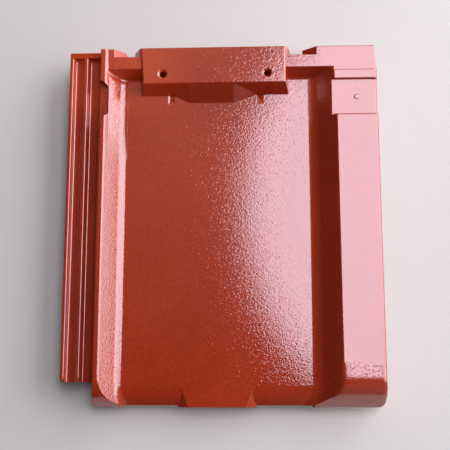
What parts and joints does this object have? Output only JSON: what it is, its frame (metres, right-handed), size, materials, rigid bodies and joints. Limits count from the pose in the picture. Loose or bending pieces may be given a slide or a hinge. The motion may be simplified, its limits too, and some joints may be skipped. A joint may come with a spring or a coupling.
{
  "type": "clay roof tile",
  "caption": "Interlocking glazed clay roof tile with a flat pan, a ribbed side lock on the left, a broad cover roll on the right and a head block with nail holes.",
  "frame": {"origin": "middle of the tile's footprint, on the surface it lies on", "axes": "+X across the roof towards the cover roll, +Y up the roof from the foot edge to the head edge, +Z out of the weather face"},
  "size_m": [0.29, 0.332, 0.0415],
  "materials": {
    "glazed_clay": "thick glossy brick-red glaze over a pressed clay body, with a coarse orange-peel surface on the pan"
  },
  "bodies": {
    "root": {"roof_tile": "glazed_clay"}
  },
  "joints": []
}
